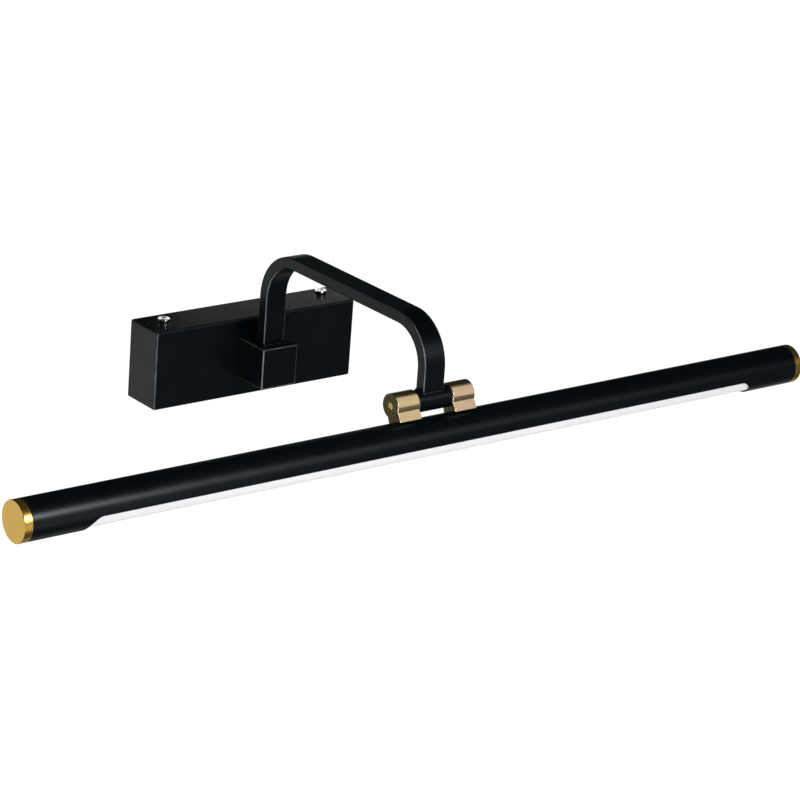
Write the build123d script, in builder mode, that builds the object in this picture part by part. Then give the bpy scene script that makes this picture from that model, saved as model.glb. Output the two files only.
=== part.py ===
from build123d import *
import math
import os

# Picture light: a folded wall box carries a bent rectangular arm, and a round
# lamp head tilts on a brass knuckle at the arm's end.  Millimetres.
# X runs along the lamp, -Y points away from the wall, +Z is up.  The origin is
# the centre of the wall box's back opening, on the wall plane.

# ---------------------------------------------------------------- driving sizes
# wall box
canopy_width = 157.3
canopy_height = 53.2
canopy_depth = 30.5
canopy_sheet = 1.0
canopy_bend_radius = 1.5
canopy_screw_spots = [(-62.0, -12.5), (66.0, -9.0)]

# wall bracket
bracket_sheet = 1.5
bracket_gap = 0.4
bracket_ear_width = 14.0
bracket_ear_depth = 18.0
bracket_bend_radius = 1.0
wall_hole_spacing = 138.0
wall_hole_radius = 2.5
cable_hole_radius = 6.5
grommet_bore_radius = 5.0

# boss that carries the arm
boss_side = 27.0
boss_depth = 27.0
boss_edge = 0.6
nipple_radius = 5.0
nipple_bore_radius = 3.5
nipple_in_boss = 9.5
nipple_end_inside = 6.0

# arm, a flat rectangular tube
arm_width = 16.0
arm_thickness = 8.0
arm_wall = 1.0
arm_corner_radius = 1.0
arm_back_y = -45.5
arm_run_z = 76.3
arm_back_bend_radius = 30.4
arm_front_bend_radius = 27.0
weld_reach = 1.7
weld_height = 1.5

# knuckle
pivot_y = -212.4
pivot_z = 30.2
barrel_radius = 7.2
barrel_length = 24.9
lug_width = 17.0
lug_head_radius = 7.9
lug_waist_front = 6.3
lug_waist_drop = 4.4
lug_foot_front = 7.4
lug_foot_back = 4.6
lug_seat_depth = 0.5
lug_edge = 0.4
friction_washer_thickness = 0.3
pivot_pin_radius = 2.25
sleeve_radius = 4.0
sleeve_bore_radius = 2.7

# lamp head
head_tilt = 22.0
pivot_above_tube = 10.2
tube_radius = 12.7
tube_wall = 1.0
lamp_length = 598.4
cap_thickness = 5.1
cap_spigot = 7.0
cap_rim_radius = 0.3
light_slot_length = 513.0
light_slot_width = 22.0
light_slot_corner = 9.5
diffuser_wall = 1.0
carrier_web = 1.5
carrier_height = 3.5
carrier_rib = 3.0
rib_offset = 7.5
board_width = 8.0
board_thickness = 1.0
board_length = 510.0
chip_pitch = 10.0
chip_length = 3.5
chip_width = 2.8
chip_height = 0.8

# wiring
lead_radius = 1.0
lamp_lead_radius = 1.5

# clearances, each on one side
thread_gap = 0.05
running_gap = 0.05
slide_gap = 0.1
hole_gap = 0.25
seat_gap = 0.02

# metric screws: shank radius, head radius, head height
m4 = (1.95, 4.0, 2.6)
m3 = (1.45, 2.75, 1.9)
m2 = (0.95, 1.9, 1.3)

os.makedirs("parts", exist_ok=True)


# ---------------------------------------------------------------- placing planes
def out_from_wall(x, y, z):
    """Sketch in X and Z; extruding goes away from the wall."""
    return Plane(origin=(x, y, z), x_dir=(1, 0, 0), z_dir=(0, -1, 0))


def toward_wall(x, y, z):
    """Sketch in X and -Z; extruding goes towards the wall."""
    return Plane(origin=(x, y, z), x_dir=(1, 0, 0), z_dir=(0, 1, 0))


def upward(x, y, z):
    return Plane(origin=(x, y, z), x_dir=(1, 0, 0), z_dir=(0, 0, 1))


def downward(x, y, z):
    return Plane(origin=(x, y, z), x_dir=(1, 0, 0), z_dir=(0, 0, -1))


def rightward(x, y, z):
    """Sketch in Y and Z; extruding goes along +X."""
    return Plane(origin=(x, y, z), x_dir=(0, 1, 0), z_dir=(1, 0, 0))


# The head's own directions: up runs from the lamp tube to the pivot, back
# points to the wall side, both leaned by the tilt.
tilt = math.radians(head_tilt)
head_up = Vector(0, math.sin(tilt), math.cos(tilt))
head_back = Vector(0, math.cos(tilt), -math.sin(tilt))
pivot_to_tube = tube_radius + pivot_above_tube
tube_axis = Vector(0, pivot_y, pivot_z) - head_up * pivot_to_tube


def in_head(x, back, up):
    """A point of the head, from its own three coordinates."""
    return Vector(x, 0, 0) + tube_axis + head_back * back + head_up * up


def head_section(x):
    """Sketch across the lamp tube: first axis back, second axis up."""
    return Plane(origin=in_head(x, 0, 0), x_dir=head_back, z_dir=(1, 0, 0))


def head_level(x, up, downwards=False):
    """Sketch square to the head's up direction, at a height over the tube's axis."""
    return Plane(origin=in_head(x, 0, up), x_dir=(1, 0, 0), z_dir=-head_up if downwards else head_up)


# ---------------------------------------------------------------- shared shapes
def rod(plane, radius, length, mode=Mode.ADD):
    with BuildSketch(plane) as face:
        Circle(radius)
    extrude(face.sketch, amount=length, mode=mode)


def bar(plane, width, height, length, mode=Mode.ADD, corner=0.0):
    with BuildSketch(plane) as face:
        Rectangle(width, height)
        if corner > 0:
            fillet(face.vertices(), corner)
    extrude(face.sketch, amount=length, mode=mode)


def pipe(plane, outer, inner, length):
    with BuildSketch(plane) as face:
        Circle(outer)
        Circle(inner, mode=Mode.SUBTRACT)
    extrude(face.sketch, amount=length)


def pan_screw(seat, size, length):
    """A cross-recess pan head on the seat plane, its shank running the other way."""
    shank_radius, head_radius, head_height = size
    rod(Plane(origin=seat.origin, x_dir=seat.x_dir, z_dir=-seat.z_dir), shank_radius, length)
    with BuildSketch(Plane(origin=seat.origin, x_dir=seat.x_dir, z_dir=seat.x_dir.cross(seat.z_dir))) as half:
        # half of the domed head's outline, turned about the screw's axis
        with BuildLine():
            Polyline((0, head_height), (0, 0), (head_radius, 0), (head_radius, head_height * 0.35))
            ThreePointArc((head_radius, head_height * 0.35),
                          (head_radius * 0.72, head_height * 0.84), (0, head_height))
        make_face()
    revolve(half.sketch, axis=Axis(seat.origin, seat.z_dir))
    recess = seat.offset(head_height * 0.45)
    bar(recess, head_radius * 1.1, head_radius * 0.22, head_height, mode=Mode.SUBTRACT)
    bar(recess, head_radius * 0.22, head_radius * 1.1, head_height, mode=Mode.SUBTRACT)


def lead(points, radii, radius):
    """A round wire along straight runs joined by tangent arcs."""
    with BuildLine() as route:
        FilletPolyline(*points, radius=radii)
    with BuildSketch(Plane(origin=route.wire() @ 0, z_dir=route.wire() % 0)) as face:
        Circle(radius)
    sweep(face.sketch, path=route.wire())


def save(builder, name):
    builder.part.label = name
    export_step(builder.part, f"parts/{name}.step")


# ================================================================ wall unit
canopy_inner_top = canopy_height / 2 - canopy_sheet
ear_top = canopy_inner_top - bracket_gap
bracket_width = canopy_width - 2 * (canopy_sheet + bracket_gap)
bracket_height = 2 * ear_top
canopy_front = -canopy_depth
ear_drop = bracket_ear_depth - bracket_sheet

# ---- wall bracket: flat plate with four ears folded forward
with BuildPart() as wall_bracket:
    bar(out_from_wall(0, 0, 0), bracket_width, bracket_height, bracket_sheet)
    for screw_x, screw_y in canopy_screw_spots:
        for level in (-1, 1):
            ear_middle = level * (ear_top - bracket_sheet / 2)
            bar(out_from_wall(screw_x, -bracket_sheet, ear_middle),
                bracket_ear_width, bracket_sheet, ear_drop)
    inner_folds = wall_bracket.edges().filter_by(Axis.X).filter_by_position(
        Axis.Y, -bracket_sheet - 0.01, -bracket_sheet + 0.01)
    fillet([e for e in inner_folds if abs(e.length - bracket_ear_width) < 0.1], bracket_bend_radius)
    for screw_x, screw_y in canopy_screw_spots:
        # tapped holes for the two canopy screws
        rod(downward(screw_x, screw_y, ear_top + 1), m4[0] + thread_gap, bracket_sheet + 2,
            mode=Mode.SUBTRACT)
    for side in (-1, 1):
        # holes for the wall screws
        rod(out_from_wall(side * wall_hole_spacing / 2, 1, 0), wall_hole_radius,
            bracket_sheet + 2, mode=Mode.SUBTRACT)
    rod(out_from_wall(0, 1, 0), cable_hole_radius, bracket_sheet + 2, mode=Mode.SUBTRACT)

# ---- rubber grommet round the supply cable's entry, with a groove for the plate
grommet_flange = 1.6
with BuildPart() as cable_grommet:
    pipe(out_from_wall(0, 0, 0), cable_hole_radius - seat_gap, grommet_bore_radius, bracket_sheet)
    pipe(out_from_wall(0, -bracket_sheet, 0), cable_hole_radius + 1.8, grommet_bore_radius, grommet_flange)

# ---- canopy: five-sided folded box, open to the wall
with BuildPart() as canopy:
    bar(out_from_wall(0, 0, 0), canopy_width, canopy_height, canopy_depth, corner=canopy_bend_radius)
    fillet(canopy.faces().sort_by(Axis.Y)[0].edges(), canopy_bend_radius)
    bar(out_from_wall(0, 1, 0), canopy_width - 2 * canopy_sheet, canopy_height - 2 * canopy_sheet,
        canopy_depth - canopy_sheet + 1, mode=Mode.SUBTRACT, corner=canopy_bend_radius - canopy_sheet)
    for screw_x, screw_y in canopy_screw_spots:
        rod(downward(screw_x, screw_y, canopy_height / 2 + 1), m4[0] + hole_gap, canopy_sheet + 2,
            mode=Mode.SUBTRACT)
    rod(out_from_wall(0, canopy_front + canopy_sheet + 1, 0), nipple_radius + hole_gap,
        canopy_sheet + 2, mode=Mode.SUBTRACT)
    boss_screw_offset = boss_side / 2 - 3.7
    for side in (-1, 1):
        rod(out_from_wall(side * boss_screw_offset, canopy_front + canopy_sheet + 1, side * boss_screw_offset),
            m3[0] + hole_gap, canopy_sheet + 2, mode=Mode.SUBTRACT)

# ---- the two bright screws on top of the canopy
canopy_screw_length = 8.0
with BuildPart() as canopy_screws:
    for screw_x, screw_y in canopy_screw_spots:
        pan_screw(upward(screw_x, screw_y, canopy_height / 2), m4, canopy_screw_length)

# ---- arm boss: a square block, drilled for the nipple and the lamp lead
boss_back = canopy_front
boss_front = boss_back - boss_depth
boss_top = boss_side / 2
wire_way_radius = 2.6
boss_screw_length = 6.0
with BuildPart() as arm_boss:
    bar(out_from_wall(0, boss_back, 0), boss_side, boss_side, boss_depth)
    chamfer(arm_boss.faces().sort_by(Axis.Y)[0].edges(), boss_edge)
    fillet(arm_boss.edges().filter_by(Axis.Y), boss_edge)
    rod(out_from_wall(0, boss_back, 0), nipple_radius + thread_gap, nipple_in_boss + 0.5, mode=Mode.SUBTRACT)
    rod(out_from_wall(0, boss_back, 0), nipple_bore_radius, boss_back - arm_back_y + nipple_bore_radius,
        mode=Mode.SUBTRACT)
    rod(upward(0, arm_back_y, 0), wire_way_radius, boss_top, mode=Mode.SUBTRACT)
    for side in (-1, 1):
        rod(out_from_wall(side * boss_screw_offset, boss_back, side * boss_screw_offset),
            m3[0] + thread_gap, boss_screw_length, mode=Mode.SUBTRACT)

# ---- hollow threaded nipple, lock washer and nut that hold the boss
washer_thickness = 0.8
nut_height = 3.0
nut_across_flats = 14.0
inside_front = canopy_front + canopy_sheet
with BuildPart() as boss_nipple:
    pipe(out_from_wall(0, inside_front + nipple_end_inside, 0), nipple_radius, nipple_bore_radius,
         nipple_end_inside + canopy_sheet + nipple_in_boss)

with BuildPart() as nipple_washer:
    with BuildSketch(toward_wall(0, inside_front, 0)):
        Circle(8.0)
        with PolarLocations(8.0, 12):
            Rectangle(1.4, 1.2)
        Circle(nipple_radius + hole_gap, mode=Mode.SUBTRACT)
    extrude(amount=washer_thickness)

with BuildPart() as nipple_nut:
    with BuildSketch(toward_wall(0, inside_front + washer_thickness, 0)):
        RegularPolygon(radius=nut_across_flats / 2, side_count=6, major_radius=False)
        Circle(nipple_radius + thread_gap, mode=Mode.SUBTRACT)
    extrude(amount=nut_height)

# ---- two small screws that stop the boss turning
with BuildPart() as boss_screws:
    for side in (-1, 1):
        pan_screw(toward_wall(side * boss_screw_offset, inside_front, side * boss_screw_offset),
                  m3, canopy_sheet + boss_screw_length - 0.5)

# ---- arm: rectangular tube, up from the boss, out over the picture and down
arm_front_y = pivot_y
barrel_top = pivot_z + barrel_radius
arm_corners = [(arm_back_y, boss_top), (arm_back_y, arm_run_z), (arm_front_y, arm_run_z), (arm_front_y, pivot_z)]
arm_bends = [arm_back_bend_radius, arm_front_bend_radius]
with BuildPart() as arm:
    with BuildLine(Plane.YZ) as arm_path:
        FilletPolyline(*arm_corners, radius=arm_bends)
    with BuildSketch(upward(0, arm_back_y, boss_top)) as arm_outer:
        RectangleRounded(arm_width, arm_thickness, arm_corner_radius)
    with BuildSketch(upward(0, arm_back_y, boss_top)) as arm_inner:
        Rectangle(arm_width - 2 * arm_wall, arm_thickness - 2 * arm_wall)
    sweep(arm_outer.sketch, path=arm_path.wire())
    sweep(arm_inner.sketch, path=arm_path.wire(), mode=Mode.SUBTRACT)
    # coped end that sits on the knuckle barrel
    rod(rightward(-arm_width, pivot_y, pivot_z), barrel_radius + seat_gap, 2 * arm_width, mode=Mode.SUBTRACT)
    bar(downward(0, pivot_y, pivot_z + 1), 2 * arm_width, 2 * arm_width, 20, mode=Mode.SUBTRACT)

# ---- weld beads at both ends of the arm
with BuildPart() as arm_weld_lower:
    with BuildSketch(upward(0, arm_back_y, boss_top)) as bead:
        RectangleRounded(arm_width + 2 * weld_reach, arm_thickness + 2 * weld_reach, weld_reach + arm_corner_radius)
    extrude(bead.sketch, amount=weld_height, taper=38)
    with BuildSketch(upward(0, arm_back_y, boss_top)) as arm_foot:
        RectangleRounded(arm_width + 2 * seat_gap, arm_thickness + 2 * seat_gap, arm_corner_radius)
    extrude(arm_foot.sketch, amount=weld_height, mode=Mode.SUBTRACT)

upper_bead_top = barrel_top + 1.3
with BuildPart() as arm_weld_upper:
    with BuildSketch(downward(0, pivot_y, upper_bead_top)) as bead:
        RectangleRounded(arm_width + 0.5, arm_thickness + 0.5, arm_corner_radius)
    extrude(bead.sketch, amount=4.0, taper=-32)
    with BuildSketch(downward(0, pivot_y, upper_bead_top)) as arm_foot:
        RectangleRounded(arm_width + 2 * seat_gap, arm_thickness + 2 * seat_gap, arm_corner_radius)
    extrude(arm_foot.sketch, amount=8.0, mode=Mode.SUBTRACT)
    rod(rightward(-arm_width, pivot_y, pivot_z), barrel_radius + seat_gap, 2 * arm_width, mode=Mode.SUBTRACT)

# ---- knuckle barrel: tapped on the left for the pivot pin, bored on the right
pin_in_barrel = 8.0
sleeve_in_barrel = 6.0
sleeve_in_lug = 3.0
half_barrel = barrel_length / 2
wire_slot_left = -2.4
wire_slot_right = 7.4
with BuildPart() as knuckle_barrel:
    rod(rightward(-half_barrel, pivot_y, pivot_z), barrel_radius, barrel_length)
    rod(rightward(-half_barrel, pivot_y, pivot_z), pivot_pin_radius + thread_gap, pin_in_barrel + 0.5,
        mode=Mode.SUBTRACT)
    rod(rightward(wire_slot_left, pivot_y, pivot_z), sleeve_bore_radius, half_barrel, mode=Mode.SUBTRACT)
    rod(rightward(half_barrel - sleeve_in_barrel, pivot_y, pivot_z), sleeve_radius + seat_gap,
        sleeve_in_barrel, mode=Mode.SUBTRACT)
    bar(upward((wire_slot_left + wire_slot_right) / 2, pivot_y, pivot_z),
        wire_slot_right - wire_slot_left, arm_thickness - 2 * arm_wall, barrel_radius + 1, mode=Mode.SUBTRACT)
    fillet(knuckle_barrel.faces().sort_by(Axis.X)[0].outer_wire().edges(), 0.3)
    fillet(knuckle_barrel.faces().sort_by(Axis.X)[-1].outer_wire().edges(), 0.3)

# ---- pivots: a slotted brass pin on the left, a hollow sleeve for the lead on the right
lug_inner = half_barrel + friction_washer_thickness + running_gap
lug_outer = lug_inner + lug_width
pin_recess = 0.3
with BuildPart() as pivot_pin:
    rod(rightward(-lug_outer + pin_recess, pivot_y, pivot_z), pivot_pin_radius,
        lug_outer - pin_recess - half_barrel + pin_in_barrel)
    bar(rightward(-lug_outer, pivot_y, pivot_z), 0.7, 3 * pivot_pin_radius, pin_recess + 0.9, mode=Mode.SUBTRACT)

with BuildPart() as pivot_sleeve:
    pipe(rightward(half_barrel - sleeve_in_barrel, pivot_y, pivot_z), sleeve_radius, sleeve_bore_radius,
         sleeve_in_barrel + friction_washer_thickness + running_gap + sleeve_in_lug)

friction_washer_radius = barrel_radius - 1.0
with BuildPart() as friction_washer_left:
    pipe(rightward(-half_barrel - friction_washer_thickness, pivot_y, pivot_z), friction_washer_radius,
         pivot_pin_radius + slide_gap, friction_washer_thickness)

with BuildPart() as friction_washer_right:
    pipe(rightward(half_barrel, pivot_y, pivot_z), friction_washer_radius, sleeve_radius + slide_gap,
         friction_washer_thickness)

# ================================================================ driver and wiring in the wall box
# ---- driver: case, lid, board and the parts on the board
driver_length = 49.0
driver_height = 30.0
driver_depth = 15.8
driver_wall = 1.5
driver_right = -13.0
driver_x = driver_right - driver_length / 2
driver_back = -bracket_sheet
driver_ear = 6.5
driver_ear_width = 9.0
driver_ear_thickness = 2.2
driver_hole_z = driver_height / 2 + driver_ear / 2
driver_lead_z = 9.0
driver_lead_y = -8.5
lamp_lead_y = -13.0
post_height = 2.0
with BuildPart() as driver_case:
    bar(out_from_wall(driver_x, driver_back, 0), driver_length, driver_height, driver_depth)
    bar(out_from_wall(driver_x, driver_back - driver_wall, 0), driver_length - 2 * driver_wall,
        driver_height - 2 * driver_wall, driver_depth, mode=Mode.SUBTRACT)
    bar(out_from_wall(driver_x, driver_back, 0), driver_ear_width, driver_height + 2 * driver_ear,
        driver_ear_thickness)
    bar(out_from_wall(driver_x, driver_back - driver_wall, 0), driver_length - 2 * driver_wall,
        driver_height - 2 * driver_wall, driver_wall, mode=Mode.SUBTRACT)
    for side_x in (-1, 1):
        for side_z in (-1, 1):
            rod(out_from_wall(driver_x + side_x * 19, driver_back - driver_wall, side_z * 10), 1.5, post_height)
    for side in (-1, 1):
        rod(out_from_wall(driver_x, driver_back + 1, side * driver_hole_z), m3[0] + hole_gap, 6,
            mode=Mode.SUBTRACT)
        rod(rightward(driver_right - driver_wall - 1, driver_lead_y, side * driver_lead_z),
            lead_radius + slide_gap, driver_wall + 2, mode=Mode.SUBTRACT)
    rod(rightward(driver_right - driver_wall - 1, lamp_lead_y, 0), lamp_lead_radius + slide_gap,
        driver_wall + 2, mode=Mode.SUBTRACT)

driver_front = driver_back - driver_depth
with BuildPart() as driver_lid:
    bar(out_from_wall(driver_x, driver_front, 0), driver_length, driver_height, driver_wall, corner=0.8)
    chamfer(driver_lid.faces().sort_by(Axis.Y)[0].edges(), 0.5)
    # shallow locating rim
    bar(toward_wall(driver_x, driver_front, 0), driver_length - 2 * driver_wall - 2 * slide_gap,
        driver_height - 2 * driver_wall - 2 * slide_gap, 1.0)
    bar(toward_wall(driver_x, driver_front, 0), driver_length - 4 * driver_wall - 2 * slide_gap,
        driver_height - 4 * driver_wall - 2 * slide_gap, 1.0, mode=Mode.SUBTRACT)

board_back = driver_back - driver_wall - post_height
driver_board_thickness = 1.6
component_seat = board_back - driver_board_thickness
with BuildPart() as driver_board:
    bar(out_from_wall(driver_x, board_back, 0), driver_length - 2 * driver_wall - 1,
        driver_height - 2 * driver_wall - 1, driver_board_thickness)

with BuildPart() as driver_transformer:
    bar(out_from_wall(driver_x - 2, component_seat, 0), 12, 14, 1.5)
    bar(out_from_wall(driver_x - 2, component_seat - 1.5, 0), 8, 14, 5.5)
    bar(out_from_wall(driver_x - 2, component_seat - 7.0, 0), 12, 14, 1.5)

with BuildPart() as driver_capacitors:
    rod(out_from_wall(driver_x - 15, component_seat, 6), 4.0, 9.0)
    rod(out_from_wall(driver_x - 15, component_seat, -5), 4.0, 9.0)
    rod(out_from_wall(driver_x + 10, component_seat, 0), 3.0, 4.0)

driver_screw_length = driver_ear_thickness + bracket_sheet - 0.2
with BuildPart() as driver_screws:
    for side in (-1, 1):
        pan_screw(out_from_wall(driver_x, driver_back - driver_ear_thickness, side * driver_hole_z),
                  m3, driver_screw_length)

# ---- terminal block with three poles, one above another
terminal_x = 27.0
terminal_length = 18.0
terminal_depth = 14.0
pole_pitch = 8.0
pole_y = driver_lead_y
clamp_radius = 2.5
clamp_bore_radius = 1.5
clamp_length = 14.0
clamp_screw_x = 4.0
clamp_screw_radius = 1.3
poles = [pole_pitch, 0.0, -pole_pitch]
fixing_levels = [pole_pitch / 2, -pole_pitch / 2]
terminal_front = -bracket_sheet - terminal_depth
with BuildPart() as terminal_block:
    bar(out_from_wall(terminal_x, -bracket_sheet, 0), terminal_length, 3 * pole_pitch + 2, terminal_depth,
        corner=1.0)
    for level in poles:
        rod(rightward(terminal_x - terminal_length, pole_y, level), clamp_radius + seat_gap,
            2 * terminal_length, mode=Mode.SUBTRACT)
        for side in (-1, 1):
            rod(toward_wall(terminal_x + side * clamp_screw_x, terminal_front - 1, level), 1.9,
                pole_y - terminal_front + 1, mode=Mode.SUBTRACT)
    for level in fixing_levels:
        rod(toward_wall(terminal_x, terminal_front - 1, level), m2[0] + hole_gap, terminal_depth + 2,
            mode=Mode.SUBTRACT)

with BuildPart() as terminal_clamps:
    for level in poles:
        pipe(rightward(terminal_x - clamp_length / 2, pole_y, level), clamp_radius, clamp_bore_radius,
             clamp_length)
    for level in poles:
        for side in (-1, 1):
            rod(out_from_wall(terminal_x + side * clamp_screw_x, pole_y, level),
                clamp_screw_radius + thread_gap, clamp_radius + 1, mode=Mode.SUBTRACT)

with BuildPart() as terminal_screws:
    for level in poles:
        for side in (-1, 1):
            x = terminal_x + side * clamp_screw_x
            rod(out_from_wall(x, pole_y - lead_radius - slide_gap, level), clamp_screw_radius, 2.8)
            rod(out_from_wall(x, pole_y - lead_radius - slide_gap - 2.8, level), 1.7, 1.4)
            bar(out_from_wall(x, pole_y - lead_radius - slide_gap - 3.6, level), 0.5, 4, 1, mode=Mode.SUBTRACT)

with BuildPart() as terminal_fixings:
    for level in fixing_levels:
        pan_screw(out_from_wall(terminal_x, terminal_front, level), m2, terminal_depth + bracket_sheet - 0.2)

# ---- earth stud on the bracket: screw, ring tag and lead
earth_x = 54.0
earth_z = -12.0
tag_thickness = 0.8
tag_radius = 4.2
with BuildPart() as earth_tag:
    with BuildSketch(out_from_wall(earth_x, -bracket_sheet, earth_z)):
        Circle(tag_radius)
        with Locations((-tag_radius - 1.5, 0)):
            Rectangle(5.0, 3.6)
        Circle(m4[0] + slide_gap, mode=Mode.SUBTRACT)
    extrude(amount=tag_thickness)

with BuildPart() as earth_screw:
    pan_screw(out_from_wall(earth_x, -bracket_sheet - tag_thickness, earth_z), m4,
              tag_thickness + bracket_sheet - 0.2)

# the bracket takes the screws of the driver, the terminal block and the earth tag
with BuildPart(mode=Mode.PRIVATE) as bracket_tapping:
    for side in (-1, 1):
        rod(out_from_wall(driver_x, 1, side * driver_hole_z), m3[0] + thread_gap, bracket_sheet + 2)
    for level in fixing_levels:
        rod(out_from_wall(terminal_x, 1, level), m2[0] + thread_gap, bracket_sheet + 2)
    rod(out_from_wall(earth_x, 1, earth_z), m4[0] + thread_gap, bracket_sheet + 2)

with wall_bracket:
    add(bracket_tapping.part, mode=Mode.SUBTRACT)

# ---- leads inside the wall box
clamp_entry = terminal_x - clamp_length / 2 + 2
bow = 4.0


def supply_lead(level, driver_level):
    """From a pole of the terminal block over to the driver, bowed past the cable entry."""
    outward = math.copysign(bow, level)
    points = [(clamp_entry, pole_y, level), (clamp_entry - 9, pole_y, level),
              (clamp_entry - 19, pole_y, level + outward),
              (driver_right + 5, pole_y, driver_level), (driver_right - driver_wall - 2, pole_y, driver_level)]
    lead(points, [10, 10, 10], lead_radius)


with BuildPart() as live_lead:
    supply_lead(poles[0], driver_lead_z)

with BuildPart() as neutral_lead:
    supply_lead(poles[2], -driver_lead_z)

earth_tail = earth_x - tag_radius - 3.6
earth_lead_y = -bracket_sheet - tag_thickness - lead_radius
with BuildPart() as earth_lead:
    lead([(terminal_x + clamp_length / 2 - 2, pole_y, 0), (terminal_x + clamp_length / 2 + 7, pole_y, 0),
          (earth_tail - 3, earth_lead_y, earth_z), (earth_tail + 1.6, earth_lead_y, earth_z)],
         [4, 2.6], lead_radius)

# ---- lamp lead, driver to knuckle, through the nipple, the boss and the arm
lead_parting = lug_inner + 0.8
with BuildPart() as lamp_lead:
    lead([(driver_right - driver_wall - 2, lamp_lead_y, 0), (0, lamp_lead_y, 0), (0, arm_back_y, 0),
          (0, arm_back_y, arm_run_z), (0, arm_front_y, arm_run_z), (0, arm_front_y, pivot_z),
          (lead_parting, arm_front_y, pivot_z)],
         [5.5, 4.2, arm_back_bend_radius, arm_front_bend_radius, 4.8], lamp_lead_radius)

# ================================================================ lamp head
tube_bore = tube_radius - tube_wall
lug_foot = tube_radius - lug_seat_depth
tube_length = lamp_length - 2 * cap_thickness
half_tube = tube_length / 2
lug_screw_x = lug_inner + 3.6
wire_bore_x = lug_outer - 5.0
wire_bore_radius = 2.3
lug_screw_length = 6.0


def lug_body(inner_x, direction):
    """A keyhole-shaped lug: round head on the pivot, a waist, and a flat foot on the tube."""
    start = min(inner_x, inner_x + direction * lug_width)
    with BuildSketch(head_section(start)) as profile:
        with Locations((0, pivot_to_tube)):
            Circle(lug_head_radius)
        with BuildLine():
            Polyline((lug_foot_back, lug_foot), (-lug_foot_front, lug_foot),
                     (-lug_waist_front, pivot_to_tube - lug_waist_drop), (0, pivot_to_tube),
                     (lug_foot_back, pivot_to_tube), close=True)
        make_face()
    extrude(profile.sketch, amount=lug_width)


def finish_lug(part, inner_x, direction):
    """Saddle for the tube, bevelled end faces and the tapped hole for its screw."""
    ends = part.faces().filter_by(Axis.X)
    rims = [e for face in ends for e in face.outer_wire().edges() if (e @ 0.5 - in_head(0, 0, 0)).dot(head_up) > 1]
    chamfer(rims, lug_edge)
    rod(rightward(-lug_outer - 1, tube_axis.Y, tube_axis.Z), tube_radius + seat_gap, 2 * lug_outer + 2,
        mode=Mode.SUBTRACT)
    screw_x = direction * lug_screw_x
    rod(head_level(screw_x, tube_bore), m3[0] + thread_gap, lug_screw_length + 0.6, mode=Mode.SUBTRACT)


with BuildPart() as lug_left:
    lug_body(-lug_inner, -1)
    finish_lug(lug_left, -lug_inner, -1)
    rod(rightward(-lug_outer - 1, pivot_y, pivot_z), pivot_pin_radius + running_gap, lug_width + 2,
        mode=Mode.SUBTRACT)

plug_thread_radius = sleeve_radius + running_gap
plug_depth = 2.4
with BuildPart() as lug_right:
    lug_body(lug_inner, 1)
    finish_lug(lug_right, lug_inner, 1)
    rod(rightward(lug_inner - 1, pivot_y, pivot_z), plug_thread_radius, lug_width + 2, mode=Mode.SUBTRACT)
    rod(head_level(wire_bore_x, tube_radius - 2), wire_bore_radius, pivot_to_tube - tube_radius + 2,
        mode=Mode.SUBTRACT)

# ---- slotted plug that closes the wiring bore in the right lug
with BuildPart() as access_plug:
    rod(rightward(lug_outer - plug_depth, pivot_y, pivot_z), plug_thread_radius - thread_gap,
        plug_depth - pin_recess)
    bar(rightward(lug_outer - 1.0, pivot_y, pivot_z), 0.8, 3 * sleeve_radius, 2, mode=Mode.SUBTRACT)

# ---- lamp tube with its long light slot
grommet_hole_radius = 3.2
with BuildPart() as lamp_tube:
    pipe(head_section(-half_tube), tube_radius, tube_bore, tube_length)
    with BuildSketch(head_level(0, 0, downwards=True)) as light_slot:
        RectangleRounded(light_slot_length, light_slot_width, light_slot_corner)
    extrude(light_slot.sketch, amount=tube_radius + 1, mode=Mode.SUBTRACT)
    for side in (-1, 1):
        rod(head_level(side * lug_screw_x, 0), m3[0] + hole_gap, tube_radius + 1, mode=Mode.SUBTRACT)
    rod(head_level(wire_bore_x, 0), grommet_hole_radius, tube_radius + 1, mode=Mode.SUBTRACT)

grommet_bore = lamp_lead_radius + 0.45
with BuildPart() as tube_grommet:
    pipe(head_level(wire_bore_x, tube_bore - 1.9), grommet_hole_radius + 0.9, grommet_bore, 0.9)
    pipe(head_level(wire_bore_x, tube_bore - 1.0), grommet_hole_radius - slide_gap, grommet_bore, 1.6)

# ---- screws from inside the tube up into the lugs
head_flat = 0.35
with BuildPart() as lug_screws:
    for side in (-1, 1):
        pan_screw(head_level(side * lug_screw_x, tube_bore - head_flat, downwards=True), m3,
                  lug_screw_length + head_flat)


# ---- end caps: a disc as wide as the tube, and a spigot slotted for the carrier
def end_cap(direction):
    outer_x = direction * (half_tube + cap_thickness)
    inner_x = direction * (half_tube - cap_spigot)
    rod(head_section(min(outer_x, direction * half_tube)), tube_radius, cap_thickness)
    rod(head_section(min(inner_x, direction * half_tube)), tube_bore - slide_gap, cap_spigot)
    slot_middle = carrier_height + carrier_web / 2
    with BuildSketch(head_section(min(inner_x, direction * (half_tube - 0.5)))) as seat:
        with Locations((0, slot_middle)):
            Rectangle(2 * tube_radius, carrier_web + 2 * slide_gap)
        with Locations((0, carrier_height + carrier_web + carrier_rib / 2)):
            Rectangle(2 * rib_offset + 2, carrier_rib + 2 * slide_gap)
    extrude(seat.sketch, amount=cap_spigot - 0.5, mode=Mode.SUBTRACT)


with BuildPart() as end_cap_left:
    end_cap(-1)
    fillet(end_cap_left.faces().sort_by(Axis.X)[0].edges(), cap_rim_radius)

with BuildPart() as end_cap_right:
    end_cap(1)
    fillet(end_cap_right.faces().sort_by(Axis.X)[-1].edges(), cap_rim_radius)

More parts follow.
